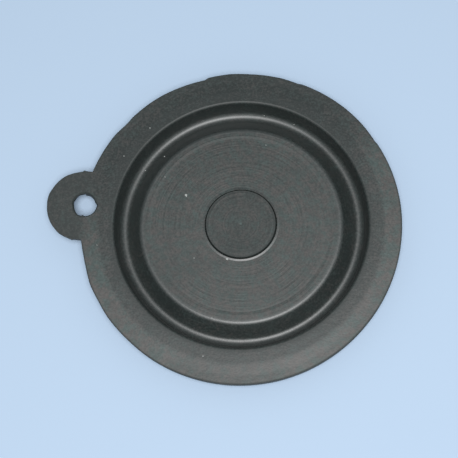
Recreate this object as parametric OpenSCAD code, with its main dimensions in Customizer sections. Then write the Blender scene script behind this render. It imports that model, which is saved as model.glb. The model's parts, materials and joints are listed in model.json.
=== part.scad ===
// Diaphragm of the water valve in an instantaneous gas water heater.
// One moulded rubber piece: a flat clamping flange with a thin lip, a deep
// rolling groove, a centre disc with a low boss, and an ear with a hole.
// +Z points out of the groove's open side, which faces the water.
// The origin is the centre of the disc's underside, where the plate bears.
// The ear points along -X.

/* [Flange] */
// Diameter over the trimmed outer edge
outside_d = 74; // [60:0.5:100]
// Width of the flange, from the groove's outer wall to the edge
flange_w = 7.85; // [5.6:0.05:12]
// Thickness of the zone that the housing clamps
flange_t = 2; // [1.5:0.1:2.8]
// How far the lip's top lies below the clamped zone
lip_drop = 0.12; // [0.04:0.02:0.4]
// Width of the flat lip at the outer edge
lip_w = 2; // [1:0.1:3]
// Width of the slope between the clamped zone and the lip
slope_w = 2.6; // [1.5:0.1:4]
// Rounding of the outer edge's two corners
edge_r = 0.2; // [0.1:0.05:0.5]

/* [Groove] */
// Width of the open groove, from the disc's flat face to the outer wall
groove_w = 6.4; // [5.7:0.1:10]
// Depth of the groove below the flange's top
groove_depth = 4.9; // [4.3:0.1:7]
// Radius of the round bottom
bottom_r = 2; // [1.4:0.05:2.2]
// Rounding between the flange and the outer wall
mouth_r = 0.4; // [0.2:0.05:0.6]
// Lean of the outer wall away from straight up, in degrees
wall_lean = 3; // [0:0.5:8]
// Thickness of the rolling wall
wall_t = 1; // [0.7:0.05:1.2]

/* [Centre disc] */
// Thickness of the disc
disc_t = 1.6; // [1.5:0.1:2.4]
// Rounding of the disc's edge
disc_edge_r = 1.35; // [0.8:0.05:1.4]
// How far the disc's face lies below the flange's top
disc_drop = 1.5; // [0.8:0.1:2]
// Distance of the faint turned step from the end of the flat face
step_in = 1.6; // [0.5:0.1:6]
// Height of that step, the middle being lower
step_h = 0.06; // [0.03:0.01:0.2]
// Width of the slope that makes the step
step_run = 0.5; // [0.1:0.05:0.8]
// Diameter of the boss in the middle
boss_d = 16; // [8:0.5:24]
// Height of the boss above the face round it
boss_h = 0.45; // [0.2:0.05:1]
// Fillet that forms the side of the boss, which the top of the boss may cut off
foot_r = 0.7; // [0.1:0.05:0.8]

/* [Ear] */
// Radius of the ear's round end
ear_r = 8.4; // [6:0.1:10]
// How far the centre of that round end lies outside the flange's edge
ear_out = 0.15; // [0:0.05:6]
// Diameter of the hole in the ear
hole_d = 5.4; // [3:0.1:6]
// How far the hole's centre lies inside the centre of the round end
hole_in = 0.55; // [0:0.05:1]
// Thickness of the ear, whose top is flush with the lip's
ear_t = 1; // [0.8:0.1:1.3]

/* [Underside] */
// Fillet between the disc's underside and the groove
plate_fillet = 0.5; // [0.2:0.05:1]
// Fillet between the groove and the flange's underside
collar_fillet = 0.6; // [0.2:0.05:1]

/* [Hidden] */
$fn = 96;
// Distance that a cutting shape runs past the surface it cuts
slack = 1;
// How far a straight side dips into the arc that it touches, so that they meet
dip = 0.0005;
// Angle by which the wedge of an arc runs on inside the rubber
overlap = 4;
outer = outside_d / 2;
wall_x = outer - flange_w;
face_x = wall_x - groove_w;
step_x = face_x - step_in;
boss_x = boss_d / 2;
// Heights, counted from the disc's underside
face_z = disc_t;
dish_z = face_z - step_h;
top_z = disc_t + disc_drop;
low_z = top_z - flange_t;
lip_z = top_z - lip_drop;
// Centres of the three arcs that shape the groove: disc edge, bottom, mouth
edge_c = [face_x, face_z - disc_edge_r];
mouth_c = [wall_x + mouth_r, top_z - mouth_r];
arcs_out = bottom_r + mouth_r;
bottom_z = top_z - groove_depth + bottom_r;
wall_rise = mouth_c.y - bottom_z + arcs_out * sin(wall_lean);
bottom_c = [mouth_c.x - arcs_out * cos(wall_lean) - wall_rise * tan(wall_lean), bottom_z];
// The inner wall is the line that touches both the disc's edge and the bottom arc
inner_gap = bottom_c - edge_c;
inner_dir = atan2(inner_gap.y, inner_gap.x) - asin((disc_edge_r + bottom_r) / norm(inner_gap));
outer_dir = 90 - wall_lean;
// Unit directions along each wall, and square to it out of the rubber
inner_u = [cos(inner_dir), sin(inner_dir)];
inner_n = [-sin(inner_dir), cos(inner_dir)];
outer_u = [cos(outer_dir), sin(outer_dir)];
outer_n = [-sin(outer_dir), cos(outer_dir)];
// Lower ends of both walls on the far side of the rubber
far_r = bottom_r + wall_t;
in_far = bottom_c - (far_r - dip) * inner_n;
out_far = bottom_c - (far_r - dip) * outer_n;
// Corners where the far side meets the disc's and the flange's underside
disc_corner = in_far - inner_u * (in_far.y / inner_u.y);
collar_corner = out_far + outer_u * (low_z - out_far.y) / outer_u.y;
collar_on_arc = [bottom_c.x + sqrt(max(0, pow(far_r, 2) - pow(low_z - bottom_c.y, 2))) - dip, low_z];
// Centre of the collar's fillet, which touches either the straight wall or the arc
collar_z = low_z - collar_fillet;
collar_run = (collar_z + collar_fillet * outer_n.y - out_far.y) / outer_u.y;
arc_reach = sqrt(pow(far_r + collar_fillet, 2) - pow(collar_z - bottom_c.y, 2));
collar_c = collar_run > 0
  ? out_far + collar_run * outer_u - collar_fillet * outer_n
  : [bottom_c.x + arc_reach, collar_z];
collar_in = collar_run > 0 ? outer_n : (bottom_c - collar_c) / norm(bottom_c - collar_c);
ear_x = outer + ear_out;
hole_x = ear_x - hole_in;
ear_z = lip_z - ear_t;

function along(angle) = [cos(angle), sin(angle)];

// A circle cut down to the wedge between two directions less than 180 apart
module wedge(centre, r, from, to) {
  intersection() {
    translate(centre) circle(r = r);
    polygon([
      centre,
      centre + 3 * r * along(from),
      centre + 6 * r * along((from + to) / 2),
      centre + 3 * r * along(to)
    ]);
  }
}

// The rubber that a fillet adds in an inside corner between two directions
module corner_fill(corner, from, to, r) {
  half = (to - from) / 2;
  middle = (from + to) / 2;
  run = r / tan(half);
  centre = corner + (r / sin(half)) * along(middle);
  difference() {
    polygon([
      corner - r * along(middle),
      corner + run * along(from) + 0.5 * r * along(from - 90),
      corner + run * along(from),
      centre,
      corner + run * along(to),
      corner + run * along(to) + 0.5 * r * along(to + 90)
    ]);
    translate(centre) circle(r = r + dip);
  }
}

// The same for the collar under the flange
module collar_fill() {
  difference() {
    polygon([
      collar_c,
      collar_c + (collar_fillet + 0.5 * wall_t) * collar_in,
      [collar_c.x + collar_fillet * collar_in.x, low_z + 0.5 * wall_t],
      [collar_c.x, low_z + 0.5 * wall_t]
    ]);
    translate(collar_c) circle(r = collar_fillet + dip);
  }
}

// What a rounding takes off the upper (side 1) or lower (side -1) outer corner
module edge_cut(z, side) {
  centre = [outer - edge_r, z - side * edge_r];
  difference() {
    translate(centre + [0, min(0, side * (edge_r + slack))]) square(edge_r + slack);
    translate(centre) circle(r = edge_r);
  }
}

// Half section before the groove is taken out
module blank_section() {
  polygon(concat(
    [[0, 0], disc_corner, in_far],
    low_z > out_far.y ? [out_far, collar_corner] : [collar_on_arc],
    [
      [outer, low_z],
      [outer, lip_z],
      [outer - lip_w, lip_z],
      [outer - lip_w - slope_w, top_z],
      [bottom_c.x, top_z],
      [bottom_c.x, face_z],
      [step_x + step_run / 2, face_z],
      [step_x - step_run / 2, dish_z],
      [0, dish_z]
    ]
  ));
  translate(bottom_c) circle(r = far_r);
}

// The groove's space, with flat chords where its two rims are rounded
module groove_space() {
  polygon([
    bottom_c - (bottom_r - dip) * inner_n,
    edge_c + (disc_edge_r - dip) * inner_n,
    [face_x, face_z],
    [face_x, top_z + slack],
    [mouth_c.x, top_z + slack],
    [mouth_c.x, top_z],
    mouth_c + (mouth_r - dip) * outer_n,
    bottom_c - (bottom_r - dip) * outer_n
  ]);
  translate(bottom_c) circle(r = bottom_r);
}

// The boss: a low disc whose side is a fillet
module boss_section() {
  translate([0, dish_z - 3 * step_h]) square([boss_x, 3 * step_h + boss_h]);
  intersection() {
    corner_fill([boss_x, dish_z], 0, 90, foot_r);
    translate([boss_x - slack, dish_z - slack]) square([2 * slack, slack + boss_h]);
  }
}

// Half section of the whole turned body
module section() {
  difference() {
    blank_section();
    groove_space();
    edge_cut(lip_z, 1);
    edge_cut(low_z, -1);
  }
  wedge(edge_c, disc_edge_r, 90 + inner_dir - overlap, 90);
  wedge(mouth_c, mouth_r, 90, 90 + outer_dir + overlap);
  corner_fill(disc_corner, 180, 360 + inner_dir, plate_fillet);
  collar_fill();
  boss_section();
}

// The flat ear, which reaches inwards only as far as the lip
module ear() {
  difference() {
    translate([-ear_x, 0, ear_z]) cylinder(r = ear_r, h = ear_t);
    translate([0, 0, ear_z - slack]) cylinder(r = outer - lip_w, h = ear_t + 2 * slack);
  }
}

module diaphragm() {
  color([0.12, 0.125, 0.125])
  difference() {
    union() {
      rotate_extrude() section();
      ear();
    }
    translate([-hole_x, 0, low_z - slack]) cylinder(d = hole_d, h = flange_t + 2 * slack);
  }
}

diaphragm();
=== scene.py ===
"""Moulded rubber diaphragm of a gas water heater, lying with its groove up on a pale floor."""
import json
import math
from types import SimpleNamespace

import bmesh
import bpy
from bpy.props import FloatProperty, FloatVectorProperty, IntProperty, PointerProperty
from mathutils import Matrix, Vector, noise


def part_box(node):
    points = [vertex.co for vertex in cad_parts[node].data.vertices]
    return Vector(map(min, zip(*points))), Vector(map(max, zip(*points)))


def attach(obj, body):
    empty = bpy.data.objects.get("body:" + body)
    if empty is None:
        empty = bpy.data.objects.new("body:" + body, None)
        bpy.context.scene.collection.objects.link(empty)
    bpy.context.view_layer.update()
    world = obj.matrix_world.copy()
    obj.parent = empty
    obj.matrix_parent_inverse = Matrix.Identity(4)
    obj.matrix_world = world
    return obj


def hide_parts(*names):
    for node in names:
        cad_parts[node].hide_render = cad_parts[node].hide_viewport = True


bl_info = {
    "name": "Water Heater Diaphragm",
    "version": (1, 0, 0),
    "blender": (4, 5, 0),
    "location": "3D View > Sidebar > Diaphragm",
    "description": "Builds a moulded rubber diaphragm with its groove, boss and ear on a pale floor",
    "category": "Object",
}

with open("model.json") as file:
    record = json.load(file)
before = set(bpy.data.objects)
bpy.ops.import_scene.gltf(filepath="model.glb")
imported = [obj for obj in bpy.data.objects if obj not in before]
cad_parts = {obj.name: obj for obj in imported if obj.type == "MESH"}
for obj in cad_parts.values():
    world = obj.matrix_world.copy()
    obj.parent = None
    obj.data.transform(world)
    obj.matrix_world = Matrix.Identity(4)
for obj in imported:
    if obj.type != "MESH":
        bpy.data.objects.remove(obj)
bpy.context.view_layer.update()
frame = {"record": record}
LOWEST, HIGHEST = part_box("diaphragm")
MOUNTS = {mount["name"]: mount for mount in frame["record"]["mounts"]}
HOLE = MOUNTS["ear_hole"]
MM = 0.001


def length(name, default, description):
    """A size that a user may change, shown in the scene's unit of length."""
    return FloatProperty(
        name=name, default=default, description=description,
        min=0.0, precision=5, subtype="DISTANCE", unit="LENGTH",
    )


def turn(name, default, description):
    """A direction or a lean, given in degrees here and shown as an angle."""
    return FloatProperty(
        name=name, default=math.radians(default), description=description,
        subtype="ANGLE", unit="ROTATION",
    )


def share(name, default, description):
    """A value between 0 and 1 that a user may change."""
    return FloatProperty(
        name=name, default=default, description=description, min=0.0, max=1.0, subtype="FACTOR",
    )


def tint(name, default, description):
    """A colour that a user may change."""
    return FloatVectorProperty(
        name=name, default=default, description=description, subtype="COLOR", size=3, min=0.0, max=1.0,
    )


# Sizes and finishes

class DiaphragmSizes(bpy.types.PropertyGroup):
    """Section of the turned body, then the ear. Heights count from the disc's underside."""

    outer_r: length("Outer Radius", HIGHEST.x, "Radius of the flange's trimmed edge")
    top_z: length("Flange Top", HIGHEST.z, "Height of the clamped zone")
    low_z: length("Flange Underside", MOUNTS["flange_bottom"]["pos_m"][2], "Height of the flange's underside")
    flange_w: length("Flange Width", 7.85 * MM, "Width of the flange outside the groove")
    lip_w: length("Lip Width", 2.0 * MM, "Width of the flat lip at the edge")
    lip_drop: length("Lip Drop", 0.12 * MM, "How far the lip lies below the clamped zone")
    slope_w: length("Slope Width", 2.6 * MM, "Width of the slope between clamped zone and lip")
    slope_soft: length("Slope Rounding", 20 * MM, "Rounding at both ends of that slope")
    edge_r: length("Edge Rounding", 0.2 * MM, "Rounding of the flange's two outer corners")
    cut_w: length("Cut Width", 0.5 * MM, "Width of the dark border where the flash was cut off")
    groove_w: length("Groove Width", 6.4 * MM, "Width of the open groove")
    groove_depth: length("Groove Depth", 4.9 * MM, "Depth of the groove below the flange's top")
    bottom_r: length("Groove Bottom Radius", 1.4 * MM, "Radius of the groove's round bottom")
    mouth_r: length("Mouth Rounding", 0.65 * MM, "Rounding between flange and outer wall")
    wall_t: length("Wall", 1.0 * MM, "Thickness of the rolling wall")
    wall_lean: turn("Wall Lean", 10.5, "Lean of the groove's outer wall away from straight up")
    groove_shift: length("Groove Shift", 0.30 * MM, "How far the groove's outer wall lies off the axis")
    disc_t: length("Disc", 1.6 * MM, "Thickness of the centre disc")
    disc_edge_r: length("Disc Edge Rounding", 1.35 * MM, "Rounding of the disc's edge")
    step_in: length("Step Inset", 1.6 * MM, "Distance of the turned step from the end of the flat face")
    step_h: length("Step Height", 0.06 * MM, "How far the disc's middle lies below its border")
    step_run: length("Step Width", 0.65 * MM, "Width of the slope that makes the step")
    step_soft: length("Step Rounding", 1.2 * MM, "Rounding of the step's upper end")
    step_shift: length("Step Shift", 0.2 * MM, "How far the step's circle lies off the axis")
    gutter_w: length("Gutter Width", 0.55 * MM, "Width of the shallow gutter inside the step")
    gutter_h: length("Gutter Depth", 0.03 * MM, "Depth of that gutter")
    gutter_soft: length("Gutter Rounding", 3.0 * MM, "Rounding of the gutter's inner end")
    boss_r: length("Boss Radius", 8.0 * MM, "Radius of the boss in the middle")
    boss_h: length("Boss Height", 0.45 * MM, "Height of the boss above the disc")
    boss_edge_r: length("Boss Edge Rounding", 0.03 * MM, "Rounding of the boss's top edge")
    boss_ring_r: length("Boss Ring Radius", 5.9 * MM, "Radius of the faint turned ring on the boss")
    boss_ring_run: length("Boss Ring Width", 0.4 * MM, "Width of the slope that makes the ring")
    boss_ring_soft: length("Boss Ring Rounding", 1.5 * MM, "Rounding at both ends of that slope")
    boss_dish: length("Boss Dish", 0.02 * MM, "How far the boss's middle lies below that ring")
    side_w: length("Boss Side", 0.22 * MM, "Width of the steep side of the boss")
    cleft_w: length("Boss Cleft Width", 0.15 * MM, "Width of the outer half of the fine cleft round the boss")
    cleft_h: length("Boss Cleft Depth", 0.30 * MM, "Depth of that cleft")
    foot_w: length("Boss Foot", 0.4 * MM, "Width of the gentle slope at the foot of the boss")
    foot_h: length("Boss Foot Height", 0.11 * MM, "Height of that slope")
    foot_edge_r: length("Boss Foot Edge", 0.04 * MM, "Rounding between the cleft and that slope")
    foot_soft: length("Boss Foot Rounding", 0.5 * MM, "Rounding of that slope's outer end")
    under_fillet: length("Underside Fillets", 0.55 * MM, "Fillets where the groove's outside meets the flats")
    ear_r: length("Ear Radius", 8.4 * MM, "Radius of the ear's round end")
    ear_x: length("Ear Distance", -LOWEST.x - 8.4 * MM, "Distance of the ear's round end from the middle")
    ear_t: length("Ear Thickness", 1.0 * MM, "Thickness of the ear, flush with the lip")
    ear_edge_r: length("Ear Edge Rounding", 0.12 * MM, "Rounding of the ear's upper and lower edge")
    hole_x: length("Hole Distance", -HOLE["pos_m"][0], "Distance of the ear's hole from the middle")
    hole_r: length("Hole Radius", HOLE["dims"]["r_mm"] * MM, "Radius of the punched hole")
    hole_flare: length("Hole Flare", 0.28 * MM, "How far the worn punch dragged out the hole's upper edge")
    spokes: IntProperty(
        name="Spokes", default=480, min=48, description="Steps of the turned body round its axis",
    )


class RubberFinish(bpy.types.PropertyGroup):
    """Colour and surface of the rubber, and of the specks that lie on it."""

    rubber_color: tint("Rubber", (0.0080, 0.0150, 0.0140), "Black filled rubber without bloom")
    # The bloom colours also paint the light on the flange's side towards the key light.
    bloom_color: tint("Bloom", (0.068, 0.108, 0.101), "Grey bloom that dulls the rubber in patches")
    warm_color: tint("Warm Bloom", (0.114, 0.100, 0.094), "Bloom where it has gone slightly brown")
    bloom_depth: share("Bloom Depth", 0.16, "How strongly the bloom comes and goes in patches")
    fleck_depth: share("Fleck Depth", 0.42, "How strongly the grain shows in the bloom")
    ring_depth: share("Ring Depth", 0.70, "How strongly the turning marks show in the bloom")
    crumb_color: tint("Crumbs", (0.66, 0.68, 0.66), "Pale crumbs and fluff on the rubber")
    gloss: share("Gloss", 1.0, "Strength of the rubber's shine")
    groove_roughness: share("Groove Roughness", 0.46, "Roughness where the mould is polished, in the groove")
    disc_roughness: share("Disc Roughness", 0.60, "Roughness of the disc, the ear and the groove's mouth")
    boss_roughness: share("Boss Roughness", 0.66, "Roughness of the boss")
    flange_roughness: share("Flange Roughness", 0.51, "Roughness of the flange")
    cut_roughness: share("Cut Roughness", 0.70, "Roughness where the flash was cut off")
    polish: share("Polish", 1.0, "Strength of the smooth skin in the groove and round the boss")
    polish_roughness: share("Polish Roughness", 0.50, "Roughness of that smooth skin")
    polish_ior: FloatProperty(
        name="Polish IOR", default=1.6, min=1.0, max=2.0, description="Refractive index of that smooth skin",
    )
    mark_pitch: length("Mark Pitch", 0.68 * MM, "Distance between the turning marks copied from the mould")
    mark_depth: length("Mark Depth", 0.050 * MM, "Depth of the turning marks")
    grain_size: length("Grain Size", 0.42 * MM, "Size of the moulded surface's fine grain")
    grain_depth: length("Grain Depth", 0.034 * MM, "Depth of the fine grain")
    lump_size: length("Lump Size", 0.9 * MM, "Size of the soft lumps in the groove")
    lump_depth: length("Lump Depth", 0.024 * MM, "Depth of those lumps")


class StudioSetup(bpy.types.PropertyGroup):
    """Floor, lights and camera."""

    floor_color: tint("Floor", (0.585, 0.730, 0.920), "Pale blue of the floor")
    floor_w: length("Floor Width", 3.0, "Half the width of the floor")
    sky_color: tint("Sky", (0.89, 0.97, 1.0), "Slightly cool tint of the even light")
    sky_strength: FloatProperty(
        name="Sky Strength", default=0.28, min=0.0, description="Level of the even light from all sides",
    )
    key_direction: turn("Key Direction", -68.0, "Direction in which the key light leans, from +X to +Y")
    key_lean: turn("Key Lean", 18.0, "Lean of the key light away from straight above")
    key_distance: length("Key Distance", 0.60, "Distance of the key light from the diaphragm")
    key_size: length("Key Size", 0.33, "Diameter of the key light's soft disc")
    key_power: FloatProperty(
        name="Key Power", default=2.70, min=0.0, unit="POWER", description="Power of the key light",
    )
    camera_distance: length("Camera Distance", 0.2259, "Distance of the camera from the flange's top")
    camera_direction: turn("Camera Direction", -72.4, "Direction in which the camera leans, from +X to +Y")
    camera_lean: turn("Camera Lean", 17.0, "Lean of the camera away from straight above")
    camera_up: turn("Camera Up", 97.54, "Direction on the floor that points up in the picture")
    lens: FloatProperty(name="Lens", default=77.6, min=1.0, description="Focal length in millimetres")
    shift_x: FloatProperty(name="Shift X", default=-0.025, description="Shift of the picture to the side")
    shift_y: FloatProperty(name="Shift Y", default=-0.0151, description="Shift of the picture up or down")


# Where the flash was trimmed off: (direction in degrees, distance in mm from the round form)
FLANGE_TRIM = (
    (7, -0.24), (17, -0.17), (31, -0.09), (38, -0.07), (39, -0.20), (47, 0.04), (56, 0.14), (66, 0.16),
    (74.5, 0.11), (75.5, -0.08), (82, 0.12), (94, 0.13), (101, 0.29), (109.5, 0.17), (111, -0.21),
    (121, -0.03), (128, 0.10), (134, 0.07), (142, -0.05), (143.5, -0.20), (146, -0.22), (151, 0.09),
    (160, 0.09), (168, 0.10), (192, -0.05), (199, -0.26), (204, -0.23), (210, 0.0), (217, -0.16),
    (223, -0.05), (235, -0.16), (247, -0.04), (274, 0.05), (291, 0.02), (307, -0.10), (327, -0.25),
    (345, -0.28), (358, -0.30),
)
EAR_TRIM = (
    (90, -0.12), (94.6, -0.10), (95.6, 0.08), (97.4, -0.02), (99, -0.24), (108, -0.30), (118, -0.24),
    (128, -0.14), (158, -0.15), (168, 0.0), (178, -0.04), (188, -0.12), (208, -0.06), (228, 0.02),
    (238, 0.12), (255, 0.06), (261, 0.12), (263, 0.26), (264.5, 0.06), (268, -0.02), (280, 0.02),
)
HOLE_TRIM = (
    (3, 0.14), (7, 0.30), (11, 0.02), (22, -0.22), (38, -0.22), (52, -0.14), (67, -0.06), (82, 0.12),
    (113, 0.12), (127, 0.24), (143, 0.12), (172, 0.10), (188, -0.08), (203, -0.16), (233, -0.04),
    (248, 0.02), (262, -0.08), (267, -0.26), (272, -0.26), (277, -0.06), (293, 0.0), (323, 0.06),
    (353, 0.10),
)
# Pale crumbs: (x and y in mm, radius in mm)
CRUMBS = (
    (-13.64, 5.52, 0.28), (-13.50, 5.20, 0.14), (-2.02, -8.60, 0.27), (-4.17, -31.50, 0.14),
    (-24.37, 20.59, 0.13), (-29.37, 12.92, 0.12), (-20.47, 15.11, 0.15), (-24.74, 11.59, 0.11),
    (-19.21, 9.36, 0.10), (1.77, 28.50, 0.11), (9.16, 27.00, 0.11), (3.36, 19.95, 0.10),
    (-9.58, -9.28, 0.11), (-3.56, -22.53, 0.12), (-31.98, -9.23, 0.09),
)


# The moulding

def trimmed(marks, angle):
    """Distance in metres from the round form at a direction in degrees, straight between the marks."""
    first, offset = marks[0]
    angle = (angle - first) % 360.0 + first
    ends = marks + ((first + 360.0, offset),)
    for (start, low), (end, high) in zip(ends, ends[1:]):
        if angle <= end:
            return (low + (high - low) * (angle - start) / (end - start)) * MM
    return offset * MM


def meeting(p, u, q, v):
    """Point where the line through p along u crosses the line through q along v."""
    cross = u.x * v.y - u.y * v.x
    along = ((q.x - p.x) * v.y - (q.y - p.y) * v.x) / cross
    return p + along * u


def groove_lines(sizes, wall, face):
    """Both walls of the groove, each as (point, direction, direction out of the rubber)."""
    edge_c = Vector((face, sizes.disc_t - sizes.disc_edge_r))
    mouth_c = Vector((wall + sizes.mouth_r, sizes.top_z - sizes.mouth_r))
    lean, reach = sizes.wall_lean, sizes.bottom_r + sizes.mouth_r
    bottom_z = sizes.top_z - sizes.groove_depth + sizes.bottom_r
    rise = mouth_c.y - bottom_z + reach * math.sin(lean)
    bottom_x = mouth_c.x - reach * math.cos(lean) - rise * math.tan(lean)
    bottom_c = Vector((bottom_x, bottom_z))
    # The inner wall touches both the disc's rounded edge and the round bottom
    gap = bottom_c - edge_c
    dive = math.atan2(gap.y, gap.x) - math.asin((sizes.disc_edge_r + sizes.bottom_r) / gap.length)
    lines = []
    for along in (Vector((math.cos(dive), math.sin(dive))), Vector((math.sin(lean), math.cos(lean)))):
        out = Vector((-along.y, along.x))
        lines.append((bottom_c - sizes.bottom_r * out, along, out))
    return lines


def section_corners(sizes):
    """Corners of the half section as (point, rounding), from the boss round to the underside's middle."""
    outer, top, low = sizes.outer_r, sizes.top_z, sizes.low_z
    wall, lip_z, disc_z = outer - sizes.flange_w, top - sizes.lip_drop, sizes.disc_t
    face = wall - sizes.groove_w
    dish_z = disc_z - sizes.step_h
    boss_z = dish_z + sizes.boss_h
    middle_z = boss_z - sizes.boss_dish
    ring_in = sizes.boss_ring_r - sizes.boss_ring_run / 2
    side_x = sizes.boss_r + sizes.side_w
    foot_x = side_x + sizes.cleft_w
    step_x = face - sizes.step_in - sizes.step_run / 2
    level = Vector((1, 0))
    (inner_p, inner_u, inner_n), (outer_p, outer_u, outer_n) = groove_lines(sizes, wall, face)
    inner_q, outer_q = inner_p - sizes.wall_t * inner_n, outer_p - sizes.wall_t * outer_n
    return [
        (Vector((0, middle_z)), 0),
        (Vector((ring_in, middle_z)), sizes.boss_ring_soft),
        (Vector((ring_in + sizes.boss_ring_run, boss_z)), sizes.boss_ring_soft),
        (Vector((sizes.boss_r, boss_z)), sizes.boss_edge_r),
        (Vector((side_x, dish_z - sizes.cleft_h)), 0),
        (Vector((foot_x, dish_z + sizes.foot_h)), sizes.foot_edge_r),
        (Vector((foot_x + sizes.foot_w, dish_z)), sizes.foot_soft),
        (Vector((step_x - sizes.gutter_w, dish_z)), sizes.gutter_soft),
        (Vector((step_x, dish_z - sizes.gutter_h)), MM),
        (Vector((step_x + sizes.step_run, disc_z)), sizes.step_soft),
        (meeting(inner_p, inner_u, Vector((0, disc_z)), level), sizes.disc_edge_r),
        (meeting(inner_p, inner_u, outer_p, outer_u), sizes.bottom_r),
        (meeting(outer_p, outer_u, Vector((0, top)), level), sizes.mouth_r),
        (Vector((outer - sizes.lip_w - sizes.slope_w, top)), sizes.slope_soft),
        (Vector((outer - sizes.lip_w, lip_z)), sizes.slope_soft),
        (Vector((outer - sizes.cut_w, lip_z)), 0),
        (Vector((outer, lip_z)), sizes.edge_r),
        (Vector((outer, low)), sizes.edge_r),
        (Vector((outer - sizes.cut_w, low)), 0),
        (meeting(outer_q, outer_u, Vector((0, low)), level), sizes.under_fillet),
        (meeting(inner_q, inner_u, outer_q, outer_u), sizes.bottom_r + sizes.wall_t),
        (meeting(inner_q, inner_u, Vector((0, 0)), level), sizes.under_fillet),
        (Vector((0, 0)), 0),
    ]


def draw_section(bm, corners):
    """Joins the corners by edges in the XZ plane, each rounded by an arc that a vertex spins."""
    last = bm.verts.new((corners[0][0].x, 0, corners[0][0].y))
    for (before, _), (corner, radius), (after, _) in zip(corners, corners[1:], corners[2:]):
        if radius == 0:
            vert = bm.verts.new((corner.x, 0, corner.y))
            bm.edges.new((last, vert))
            last = vert
            continue
        back, on = (before - corner).normalized(), (after - corner).normalized()
        half = back.angle(on) / 2
        start = corner + back * (radius / math.tan(half))
        centre = corner + (back + on).normalized() * (radius / math.sin(half))
        sweep = math.copysign(math.pi - 2 * half, back.x * on.y - back.y * on.x)
        vert = bm.verts.new((start.x, 0, start.y))
        bm.edges.new((last, vert))
        steps = max(3, math.ceil(abs(sweep) / math.radians(6)))
        arc = bmesh.ops.spin(
            bm, geom=[vert], cent=(centre.x, 0, centre.y), axis=(0, 1, 0), angle=sweep, steps=steps,
        )
        last = arc["geom_last"][0]
    end = bm.verts.new((corners[-1][0].x, 0, corners[-1][0].y))
    bm.edges.new((last, end))


def move_out(vert, centre, distance):
    """Moves a vertex away from an upright axis through the centre."""
    away = Vector((vert.co.x - centre.x, vert.co.y - centre.y, 0))
    if away.length > 0:
        vert.co += away.normalized() * distance


def direction_from(vert, centre):
    """Direction of a vertex from an upright axis through the centre, in degrees."""
    return math.degrees(math.atan2(vert.co.y - centre.y, vert.co.x - centre.x))


def trim_flange(bm, sizes):
    """Moves the flange's edge in and out, as the flash was trimmed off by hand."""
    axis, inside = Vector((0, 0, 0)), sizes.outer_r - sizes.lip_w
    for vert in bm.verts:
        across = (math.hypot(vert.co.x, vert.co.y) - inside) / sizes.lip_w
        if across > 0:
            move_out(vert, axis, min(across, 1.0) * trimmed(FLANGE_TRIM, direction_from(vert, axis)))


def shift_rings(bm, sizes, direction):
    """Sets the turned step and the groove's outer wall a little off the axis."""
    wall = sizes.outer_r - sizes.flange_w
    face, still = wall - sizes.groove_w, wall + 3 * MM
    fade_in, fade_out = 4 * MM, 2.5 * MM
    step, way = face - sizes.step_in, Vector((math.cos(direction), math.sin(direction), 0))
    for vert in bm.verts:
        radius = math.hypot(vert.co.x, vert.co.y)
        if vert.co.z > sizes.disc_t / 2 and abs(radius - step) < sizes.step_run:
            vert.co += way * sizes.step_shift
        elif face < radius < still:
            part = min((radius - face) / fade_in, (still - radius) / fade_out, 1.0)
            vert.co += way * (part * sizes.groove_shift)


def turned_body(sizes, shift_direction):
    """The round part of the moulding: its section spun once round the axis."""
    bm = bmesh.new()
    draw_section(bm, section_corners(sizes))
    bmesh.ops.spin(
        bm, geom=bm.verts[:] + bm.edges[:], cent=(0, 0, 0), axis=(0, 0, 1),
        angle=2 * math.pi, steps=sizes.spokes, use_merge=True,
    )
    bmesh.ops.remove_doubles(bm, verts=bm.verts[:], dist=0.001 * MM)
    bmesh.ops.recalc_face_normals(bm, faces=bm.faces[:])
    shift_rings(bm, sizes, shift_direction)
    trim_flange(bm, sizes)
    return bm


def slice_at(bm, point, normal, clear_outer=False):
    """Cuts new edges along a plane, and may take away what lies beyond it."""
    bmesh.ops.bisect_plane(
        bm, geom=bm.verts[:] + bm.edges[:] + bm.faces[:], plane_co=point, plane_no=normal,
        clear_outer=clear_outer,
    )


def ear_plate(sizes):
    """The flat ear with its hand-trimmed edge, cut off straight inside the lip."""
    bm = bmesh.new()
    lip_z = sizes.top_z - sizes.lip_drop
    centre = Vector((-sizes.ear_x, 0, lip_z - sizes.ear_t / 2))
    bmesh.ops.create_cone(
        bm, cap_ends=True, segments=360, radius1=sizes.ear_r, radius2=sizes.ear_r, depth=sizes.ear_t,
        matrix=Matrix.Translation(centre),
    )
    for vert in bm.verts:
        move_out(vert, centre, trimmed(EAR_TRIM, direction_from(vert, centre)))
    rims = [e for e in bm.edges if abs(e.verts[0].co.z - e.verts[1].co.z) < 0.01 * MM]
    bmesh.ops.bevel(
        bm, geom=rims, offset=sizes.ear_edge_r, segments=2, profile=0.5, affect="EDGES", material=-1,
    )
    inside = sizes.outer_r - 0.75 * sizes.lip_w
    slice_at(bm, (-inside, 0, 0), (1, 0, 0), clear_outer=True)
    bmesh.ops.holes_fill(bm, edges=[e for e in bm.edges if e.is_boundary])
    return bm


def hole_punch(sizes):
    """What a worn punch takes out of the ear, wider at the upper edge."""
    bm = bmesh.new()
    centre = Vector((-sizes.hole_x, 0, sizes.top_z))
    bmesh.ops.create_cone(
        bm, cap_ends=True, segments=180, radius1=sizes.hole_r, radius2=sizes.hole_r, depth=12 * MM,
        matrix=Matrix.Translation(centre),
    )
    # The slope runs on above the ear, so that no edge of the punch lies in the ear's top
    above = 0.1 * MM
    wide_z = sizes.top_z - sizes.lip_drop + above
    for height in (wide_z - above - sizes.hole_flare, wide_z):
        slice_at(bm, (0, 0, height), (0, 0, 1))
    for vert in bm.verts:
        flare = sizes.hole_flare + above if vert.co.z > wide_z - 0.01 * MM else 0.0
        move_out(vert, centre, flare + trimmed(HOLE_TRIM, direction_from(vert, centre)))
    return bm


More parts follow.
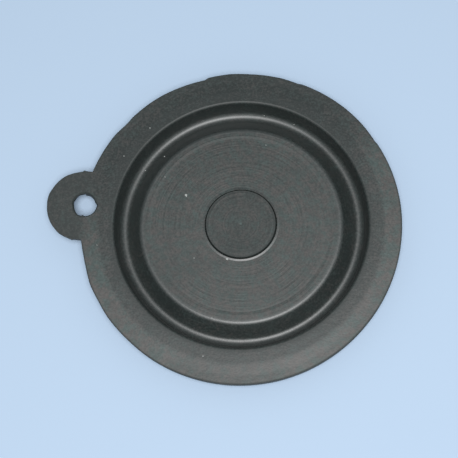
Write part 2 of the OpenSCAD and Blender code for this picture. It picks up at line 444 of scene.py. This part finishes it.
def write_edge_gap(mesh, sizes):
    """Stores at each vertex how far it lies inside the flange's trimmed outline, except on the ear."""
    gap = mesh.attributes.new("edge_gap", "FLOAT", "POINT")
    axis, ear_reach = Vector((0, 0, 0)), sizes.ear_r + 0.4 * MM
    for vert, stored in zip(mesh.vertices, gap.data):
        edge = sizes.outer_r + trimmed(FLANGE_TRIM, direction_from(vert, axis))
        on_ear = math.hypot(vert.co.x + sizes.ear_x, vert.co.y) < ear_reach
        stored.value = sizes.lip_w if on_ear else edge - math.hypot(vert.co.x, vert.co.y)


def new_piece(name, bm, material):
    """Turns a bmesh into a named object of one material."""
    mesh = bpy.data.meshes.new(name)
    bm.to_mesh(mesh)
    bm.free()
    mesh.materials.append(material)
    piece = bpy.data.objects.new(name, mesh)
    bpy.context.scene.collection.objects.link(piece)
    return piece


def combine(piece, tool, operation):
    """Applies an exact boolean and removes the tool."""
    cut = piece.modifiers.new(operation.title(), "BOOLEAN")
    cut.operation = operation
    cut.solver = "EXACT"
    cut.object = tool
    depsgraph = bpy.context.evaluated_depsgraph_get()
    mesh = bpy.data.meshes.new_from_object(piece.evaluated_get(depsgraph))
    piece.modifiers.clear()
    piece.data = mesh
    bpy.data.objects.remove(tool)


class DIAPHRAGM_OT_moulding(bpy.types.Operator):
    """Builds the moulded rubber piece in place of the plain one"""

    bl_idname = "diaphragm.moulding"
    bl_label = "Rubber Moulding"

    def execute(self, context):
        scene = context.scene
        sizes = scene.diaphragm_sizes
        rubber = rubber_material(scene.rubber_finish, sizes)
        piece = new_piece("rubber_diaphragm", turned_body(sizes, scene.studio_setup.camera_up), rubber)
        combine(piece, new_piece("ear_tool", ear_plate(sizes), rubber), "UNION")
        combine(piece, new_piece("punch_tool", hole_punch(sizes), rubber), "DIFFERENCE")
        write_edge_gap(piece.data, sizes)
        piece.data.shade_smooth()
        piece.data.set_sharp_from_angle(angle=math.radians(35))
        level = piece.modifiers.new("Flat Faces Stay Flat", "WEIGHTED_NORMAL")
        level.keep_sharp = True
        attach(piece, "root")
        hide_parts("diaphragm")
        return {"FINISHED"}


def lay_crumb(bm, moulding, x, y, radius):
    """A small uneven crumb that lies half sunk on what is under it."""
    found, ground, _, _ = moulding.ray_cast(Vector((x, y, 0.05)), Vector((0, 0, -1)))
    if not found:
        raise RuntimeError("A crumb has nothing to lie on.")
    made = bmesh.ops.create_icosphere(bm, subdivisions=2, radius=radius)
    for vert in made["verts"]:
        bump = 1 + 0.35 * noise.noise(vert.co * (0.9 / radius) + Vector((x, y, 0)) / MM)
        uneven = Vector((vert.co.x * bump * 1.15, vert.co.y * bump, vert.co.z * bump * 0.7))
        vert.co = uneven + ground


class DIAPHRAGM_OT_crumbs(bpy.types.Operator):
    """Lays the pale crumbs on the moulding"""

    bl_idname = "diaphragm.crumbs"
    bl_label = "Crumbs"

    def execute(self, context):
        moulding = bpy.data.objects.get("rubber_diaphragm")
        if moulding is None:
            raise RuntimeError("The crumbs need the moulding: build it first.")
        context.view_layer.update()
        bm = bmesh.new()
        for x, y, radius in CRUMBS:
            lay_crumb(bm, moulding, x * MM, y * MM, radius * MM)
        bmesh.ops.recalc_face_normals(bm, faces=bm.faces[:])
        crumbs = new_piece("pale_crumbs", bm, crumb_material(context.scene.rubber_finish))
        crumbs.data.shade_smooth()
        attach(crumbs, "root")
        return {"FINISHED"}


# Steps that the materials share

def new_group(name, inputs, outputs):
    """A shader node group with named values going in and coming out."""
    group = bpy.data.node_groups.new(name, "ShaderNodeTree")
    for title, default in inputs.items():
        socket = group.interface.new_socket(title, in_out="INPUT", socket_type="NodeSocketFloat")
        socket.default_value = default
    for title in outputs:
        group.interface.new_socket(title, in_out="OUTPUT", socket_type="NodeSocketFloat")
    return group, group.nodes.new("NodeGroupInput"), group.nodes.new("NodeGroupOutput")


def feed(tree, source, target):
    """Links a socket to an input, or writes a plain number or vector into it."""
    if isinstance(source, bpy.types.NodeSocket):
        tree.links.new(source, target)
    else:
        target.default_value = source


def calc(tree, operation, *values, clamp=False):
    """One step of arithmetic, and the socket that holds its result."""
    node = tree.nodes.new("ShaderNodeMath")
    node.operation = operation
    node.use_clamp = clamp
    for value, target in zip(values, node.inputs):
        feed(tree, value, target)
    return node.outputs["Value"]


def times(tree, first, *others):
    """The product of two or more values."""
    for other in others:
        first = calc(tree, "MULTIPLY", first, other)
    return first


def spread(tree, value, low, high, out_low=0.0, out_high=1.0):
    """Maps a value smoothly from one range to another, held at both ends."""
    node = tree.nodes.new("ShaderNodeMapRange")
    node.interpolation_type = "SMOOTHSTEP"
    for source, target in zip((value, low, high, out_low, out_high), node.inputs):
        feed(tree, source, target)
    return node.outputs["Result"]


def cloud(tree, size, detail, roughness=0.5, offset=0.0):
    """Soft noise whose lumps have about the given size. The offset keeps clouds of like size apart."""
    node = tree.nodes.new("ShaderNodeTexNoise")
    node.inputs["Detail"].default_value = detail
    node.inputs["Roughness"].default_value = roughness
    feed(tree, calc(tree, "DIVIDE", 1.0, size), node.inputs["Scale"])
    shift = tree.nodes.new("ShaderNodeVectorMath")
    feed(tree, tree.nodes.new("ShaderNodeTexCoord").outputs["Object"], shift.inputs[0])
    shift.inputs[1].default_value = (offset, offset, offset)
    tree.links.new(shift.outputs["Vector"], node.inputs["Vector"])
    return node.outputs["Fac"]


def place(tree, group, **values):
    """Puts a node group into a tree with its own values."""
    node = tree.nodes.new("ShaderNodeGroup")
    node.node_tree = group
    for name, value in values.items():
        feed(tree, value, node.inputs[name.title()])
    return node


def position(tree):
    """Node that splits the place on the object into X, Y and Z."""
    where = tree.nodes.new("ShaderNodeSeparateXYZ")
    feed(tree, tree.nodes.new("ShaderNodeTexCoord").outputs["Object"], where.inputs[0])
    return where


def mixed(tree, mask, first, second):
    """A blend of two plain colours by a mask."""
    node = tree.nodes.new("ShaderNodeMix")
    node.data_type = "RGBA"
    for source, target in zip((mask, first, second), (node.inputs["Factor"], node.inputs[6], node.inputs[7])):
        feed(tree, source, target)
    return node.outputs[2]


def painted(tree, ground, layers):
    """Lays one value after another over the ground, each through its own mask."""
    for mask, value in layers:
        node = tree.nodes.new("ShaderNodeMix")
        for source, title in ((mask, "Factor"), (ground, "A"), (value, "B")):
            feed(tree, source, node.inputs[title])
        ground = node.outputs["Result"]
    return ground


def axis_distance_group():
    """Distance from an upright axis, in metres."""
    group, ins, out = new_group("axis_distance", {"X": 0.0, "Y": 0.0}, ["Radius"])
    where = position(group)
    sides = [calc(group, "SUBTRACT", where.outputs[i], ins.outputs[i]) for i in (0, 1)]
    squares = [calc(group, "MULTIPLY", side, side) for side in sides]
    feed(group, calc(group, "SQRT", calc(group, "ADD", *squares)), out.inputs["Radius"])
    return group


def ring_zone_group():
    """A ring between two radii, with soft borders."""
    inputs = {"Radius": 0.0, "Inner": 0.0, "Outer": 1.0, "Soft": 0.001}
    group, ins, out = new_group("ring_zone", inputs, ["Mask"])
    radius, inner, outer, soft = (ins.outputs[i] for i in range(4))
    sides = []
    for border, near, far in ((inner, 0.0, 1.0), (outer, 1.0, 0.0)):
        start, end = calc(group, "SUBTRACT", border, soft), calc(group, "ADD", border, soft)
        sides.append(spread(group, radius, start, end, near, far))
    feed(group, calc(group, "MULTIPLY", *sides), out.inputs["Mask"])
    return group


def grain_group():
    """Fine grain of a moulded surface, and the light and dark that comes with it."""
    group, ins, out = new_group("moulded_grain", {"Size": 0.0003}, ["Height", "Fleck"])
    size = ins.outputs["Size"]
    fine = times(group, cloud(group, size, 2.0, 0.6), 0.7)
    coarse = times(group, cloud(group, times(group, size, 3.4), 2.0, offset=0.31), 0.9)
    feed(group, calc(group, "ADD", fine, coarse), out.inputs["Height"])
    specks = cloud(group, times(group, size, 1.1), 3.0, 0.65, offset=0.73)
    feed(group, spread(group, specks, 0.32, 0.68), out.inputs["Fleck"])
    return group


def turning_marks_group():
    """Rings that the mould's turning tool left, uneven in pitch and depth and fading in places."""
    group, ins, out = new_group("turning_marks", {"Radius": 0.0, "Pitch": 0.0007}, ["Height"])
    drift = times(group, cloud(group, 16 * MM, 1.0, offset=0.61), 0.5)
    turns = calc(group, "ADD", calc(group, "DIVIDE", ins.outputs["Radius"], ins.outputs["Pitch"]), drift)
    ridge = group.nodes.new("ShaderNodeTexNoise")
    ridge.noise_dimensions = "1D"
    ridge.inputs["Scale"].default_value = 1.0
    ridge.inputs["Detail"].default_value = 2.0
    ridge.inputs["Roughness"].default_value = 0.55
    feed(group, times(group, turns, 1.25), ridge.inputs["W"])
    wave = calc(group, "SINE", times(group, turns, 2 * math.pi))
    rings = calc(group, "ADD", times(group, wave, 0.05), ridge.outputs["Fac"])
    patches = spread(group, cloud(group, 7 * MM, 3.0, offset=0.17), 0.32, 0.66, 0.15, 1.0)
    feed(group, times(group, calc(group, "SUBTRACT", rings, 0.5), patches), out.inputs["Height"])
    return group


def bloom_group():
    """Patchy grey bloom, as a mask."""
    group, ins, out = new_group("bloom_patches", {"Base": 0.5, "Depth": 0.5}, ["Mask"])
    wide = times(group, cloud(group, 14 * MM, 3.0, 0.55, offset=0.41), 0.6)
    close = times(group, cloud(group, 2.6 * MM, 4.0, 0.6, offset=0.09), 0.4)
    patches = spread(group, calc(group, "ADD", wide, close), 0.36, 0.64, -0.5, 0.5)
    change = times(group, patches, ins.outputs["Depth"])
    feed(group, calc(group, "ADD", ins.outputs["Base"], change, clamp=True), out.inputs["Mask"])
    return group


def shader_of(name):
    """A new material with its tree and its shader."""
    material = bpy.data.materials.new(name)
    material.use_nodes = True
    return material, material.node_tree, material.node_tree.nodes["Principled BSDF"]


# Materials

def rubber_zones(tree, sizes):
    """Masks for the parts of the moulding, the distance from its axis, and a mask for the painted light."""
    distance, ring_zone = axis_distance_group(), ring_zone_group()
    radius, ear_radius, hole_radius, patch_radius = (
        place(tree, distance, x=x, y=y).outputs["Radius"]
        for x, y in ((0.0, 0.0), (-sizes.ear_x, 0.0), (-sizes.hole_x, 0.0), (3 * MM, -sizes.outer_r))
    )

    def zone(inner, outer, soft, around=radius):
        made = place(tree, ring_zone, radius=around, inner=inner, outer=outer, soft=soft)
        return made.outputs["Mask"]

    edge, far = sizes.outer_r, 99 * MM
    wall = edge - sizes.flange_w
    face = wall - sizes.groove_w
    foot = sizes.boss_r + sizes.side_w + sizes.cleft_w
    where = position(tree)
    away_from_key = calc(tree, "SUBTRACT", where.outputs["Y"], times(tree, where.outputs["X"], 0.4))
    edge_gap = tree.nodes.new("ShaderNodeAttribute")
    edge_gap.attribute_name = "edge_gap"
    flange_cut = spread(tree, edge_gap.outputs["Fac"], 0.15 * MM, sizes.cut_w, 1.0, 0.0)
    hole_cut = zone(-MM, sizes.hole_r + 0.35 * MM, 0.2 * MM, hole_radius)
    beyond = zone(edge + 0.2 * MM, far, 0.3 * MM)
    ear_cut = times(tree, beyond, zone(sizes.ear_r - 0.45 * MM, far, 0.2 * MM, ear_radius))
    return SimpleNamespace(
        radius=radius,
        disc=zone(-MM, face, 0.3 * MM),
        boss=zone(-MM, sizes.boss_r, 0.15 * MM),
        # Steep side and cleft of the boss, left bare of bloom: partly the bare corner, partly painted shade
        # in the crease.
        boss_side=zone(sizes.boss_r - 0.10 * MM, foot, 0.08 * MM),
        boss_foot=zone(foot, sizes.boss_r + 0.85 * MM, 0.10 * MM),
        centre_mark=zone(-MM, 0.3 * MM, 0.15 * MM),
        groove=zone(face - 0.2 * MM, wall - 0.2 * MM, 0.35 * MM),
        skin=zone(face - 0.2 * MM, wall - 0.5 * MM, 0.30 * MM),
        mouth=zone(wall - 0.2 * MM, wall + 0.8 * MM, 0.25 * MM),
        flange=zone(wall + 1.4 * MM, far, 0.7 * MM),
        lip=zone(edge - 4.2 * MM, edge, 0.7 * MM),
        ear=spread(tree, where.outputs["X"], -38.5 * MM, -33.5 * MM, 1.0, 0.0),
        cut=calc(tree, "MAXIMUM", calc(tree, "MAXIMUM", flange_cut, hole_cut), ear_cut),
        # Painted light: this mask lets the bloom grow thicker on the side towards the key light.
        painted_light_side=spread(tree, away_from_key, -4 * MM, 30 * MM, 1.0, 0.0),
        # Patch at the edge nearest the key light, where the painted light is held back.
        near_patch=zone(-far, 12 * MM, 8 * MM, patch_radius),
    )


def bloom_and_painted_light(tree, finish, zones, fleck, marks):
    """How much bloom covers the rubber, with painted light towards the key light and painted shade round the
    boss.
    """
    # Painted light: flange, lip and cut edge get more bloom on the side towards the key light.
    flange, lip, cut = (
        spread(tree, zones.painted_light_side, 0.0, 1.0, high_end, low_end)
        for high_end, low_end in ((0.02, 0.18), (0.12, 0.58), (0.0, 0.15))
    )
    base = painted(tree, 0.02, (
        (zones.disc, 0.38), (zones.boss, 0.20), (zones.groove, 0.06), (zones.flange, flange),
        (zones.lip, lip), (zones.ear, 0.12), (zones.centre_mark, 0.75), (zones.boss_foot, 0.30),
        # No bloom in the crease round the boss: the bare corner, darkened further as painted shade.
        (zones.boss_side, 0.0), (zones.cut, cut),
    ))
    # Less of that painted light in a patch at the edge nearest the key light.
    base = times(tree, base, spread(tree, zones.near_patch, 0.0, 1.0, 1.0, 0.62))
    bloom = place(tree, bloom_group(), base=base, depth=finish.bloom_depth).outputs["Mask"]
    rings = times(tree, marks, zones.disc, finish.ring_depth)
    flecked = calc(tree, "ADD", bloom, times(tree, fleck, finish.fleck_depth))
    return calc(tree, "ADD", flecked, rings, clamp=True)


def rubber_roughness(tree, finish, zones, fleck):
    """Roughness of each zone, uneven with the grain."""
    level = painted(tree, finish.flange_roughness, (
        (zones.disc, finish.disc_roughness), (zones.boss, finish.boss_roughness),
        (zones.groove, finish.groove_roughness), (zones.mouth, finish.disc_roughness),
        (zones.ear, finish.disc_roughness), (zones.boss_foot, finish.groove_roughness),
        (zones.cut, finish.cut_roughness),
    ))
    return calc(tree, "ADD", level, times(tree, fleck, 0.05))


def rubber_height(tree, finish, zones, grain, marks, smooth):
    """Fine relief: turning marks on the disc, soft lumps in the smooth zones, and grain all over."""
    ridges = times(tree, marks, zones.disc, finish.mark_depth)
    lumps = times(tree, cloud(tree, finish.lump_size, 2.0, offset=0.57), smooth, finish.lump_depth)
    pits = times(tree, grain, finish.grain_depth)
    return calc(tree, "ADD", calc(tree, "ADD", ridges, lumps), pits)


def rubber_material(finish, sizes):
    """Black filled rubber with bloom, fine grain, turning marks, and painted light and shade."""
    material, tree, shader = shader_of("moulded_rubber")
    zones = rubber_zones(tree, sizes)
    grain = place(tree, grain_group(), size=finish.grain_size)
    marks = place(tree, turning_marks_group(), radius=zones.radius, pitch=finish.mark_pitch).outputs["Height"]
    fleck = calc(tree, "SUBTRACT", grain.outputs["Fleck"], 0.5)
    smooth = calc(tree, "MAXIMUM", zones.skin, zones.boss_foot)
    brown = spread(tree, cloud(tree, 2.2 * MM, 5.0, 0.72, offset=0.83), 0.38, 0.60)
    bloomed = mixed(tree, brown, (*finish.bloom_color, 1), (*finish.warm_color, 1))
    cover = bloom_and_painted_light(tree, finish, zones, fleck, marks)
    feed(tree, mixed(tree, cover, (*finish.rubber_color, 1), bloomed), shader.inputs["Base Color"])
    feed(tree, rubber_roughness(tree, finish, zones, fleck), shader.inputs["Roughness"])
    feed(tree, times(tree, smooth, finish.polish), shader.inputs["Coat Weight"])
    shader.inputs["Specular IOR Level"].default_value = finish.gloss
    shader.inputs["Coat Roughness"].default_value = finish.polish_roughness
    shader.inputs["Coat IOR"].default_value = finish.polish_ior
    bump = tree.nodes.new("ShaderNodeBump")
    bump.inputs["Distance"].default_value = 1.0
    relief = rubber_height(tree, finish, zones, grain.outputs["Height"], marks, smooth)
    feed(tree, relief, bump.inputs["Height"])
    feed(tree, bump.outputs["Normal"], shader.inputs["Normal"])
    return material


def crumb_material(finish):
    """Pale dry crumbs, greyer in places."""
    material, tree, shader = shader_of("pale_crumb")
    lumps = cloud(tree, 0.12 * MM, 2.0, offset=0.2)
    grey = tuple(0.55 * part for part in finish.crumb_color)
    feed(tree, mixed(tree, lumps, (*grey, 1), (*finish.crumb_color, 1)), shader.inputs["Base Color"])
    shader.inputs["Roughness"].default_value = 0.85
    return material


def floor_material(studio):
    """Plain matt card."""
    material, _, shader = shader_of("pale_floor")
    shader.inputs["Base Color"].default_value = (*studio.floor_color, 1)
    shader.inputs["Roughness"].default_value = 0.9
    shader.inputs["Specular IOR Level"].default_value = 0.0
    return material


# Studio

def lay_floor(studio):
    """A wide plain floor under the groove's rounded outside, on which the diaphragm rests."""
    bm = bmesh.new()
    bmesh.ops.create_grid(
        bm, x_segments=1, y_segments=1, size=studio.floor_w, matrix=Matrix.Translation((0, 0, LOWEST.z)),
    )
    new_piece("floor", bm, floor_material(studio))


def leaning(direction, lean):
    """Unit vector that leans from straight up towards a direction on the floor."""
    across = math.sin(lean)
    return Vector((across * math.cos(direction), across * math.sin(direction), math.cos(lean)))


def set_lights(scene, studio):
    """One soft disc beside the camera, and an even sky."""
    lamp = bpy.data.lights.new("key_light", "AREA")
    lamp.shape = "DISK"
    lamp.size = studio.key_size
    lamp.energy = studio.key_power
    key = bpy.data.objects.new("key_light", lamp)
    back = leaning(studio.key_direction, studio.key_lean)
    key.location = back * studio.key_distance
    key.rotation_euler = back.to_track_quat("Z", "Y").to_euler()
    scene.collection.objects.link(key)
    world = bpy.data.worlds.new("even_sky")
    world.use_nodes = True
    sky = world.node_tree.nodes["Background"]
    sky.inputs["Color"].default_value = (*studio.sky_color, 1)
    sky.inputs["Strength"].default_value = studio.sky_strength
    scene.world = world


def set_camera(scene, studio):
    """The camera at the photograph's angle, looking at the middle of the flange's top."""
    view = bpy.data.cameras.new("camera")
    view.lens = studio.lens
    view.sensor_width = 36.0
    view.shift_x = studio.shift_x
    view.shift_y = studio.shift_y
    view.clip_start = 0.005
    camera = bpy.data.objects.new("camera", view)
    back = leaning(studio.camera_direction, studio.camera_lean)
    up = Vector((math.cos(studio.camera_up), math.sin(studio.camera_up), 0))
    up = (up - back * up.dot(back)).normalized()
    camera.rotation_euler = Matrix((up.cross(back), up, back)).transposed().to_euler()
    camera.location = Vector((0, 0, HIGHEST.z)) + back * studio.camera_distance
    scene.collection.objects.link(camera)
    scene.camera = camera


class DIAPHRAGM_OT_stage(bpy.types.Operator):
    """Lays the floor and sets the lights and the camera"""

    bl_idname = "diaphragm.stage"
    bl_label = "Studio"

    def execute(self, context):
        scene = context.scene
        studio = scene.studio_setup
        lay_floor(studio)
        set_lights(scene, studio)
        set_camera(scene, studio)
        scene.view_settings.view_transform = "Standard"
        return {"FINISHED"}


class DIAPHRAGM_PT_panel(bpy.types.Panel):
    """Sizes, finish and studio, with a button for each piece"""

    bl_label = "Water Heater Diaphragm"
    bl_idname = "DIAPHRAGM_PT_panel"
    bl_space_type = "VIEW_3D"
    bl_region_type = "UI"
    bl_category = "Diaphragm"

    def draw(self, context):
        layout = self.layout
        scene = context.scene
        for group in (scene.diaphragm_sizes, scene.rubber_finish, scene.studio_setup):
            box = layout.box()
            for name in group.__annotations__:
                box.prop(group, name)
        layout.operator("diaphragm.stage")
        layout.operator("diaphragm.moulding")
        layout.operator("diaphragm.crumbs")


CLASSES = (
    DiaphragmSizes,
    RubberFinish,
    StudioSetup,
    DIAPHRAGM_OT_moulding,
    DIAPHRAGM_OT_crumbs,
    DIAPHRAGM_OT_stage,
    DIAPHRAGM_PT_panel,
)


def register():
    for cls in CLASSES:
        bpy.utils.register_class(cls)
    bpy.types.Scene.diaphragm_sizes = PointerProperty(type=DiaphragmSizes)
    bpy.types.Scene.rubber_finish = PointerProperty(type=RubberFinish)
    bpy.types.Scene.studio_setup = PointerProperty(type=StudioSetup)


def unregister():
    del bpy.types.Scene.studio_setup
    del bpy.types.Scene.rubber_finish
    del bpy.types.Scene.diaphragm_sizes
    for cls in reversed(CLASSES):
        bpy.utils.unregister_class(cls)


def main():
    register()
    bpy.ops.diaphragm.stage()
    bpy.ops.diaphragm.moulding()
    bpy.ops.diaphragm.crumbs()


if __name__ == "__main__":
    main()
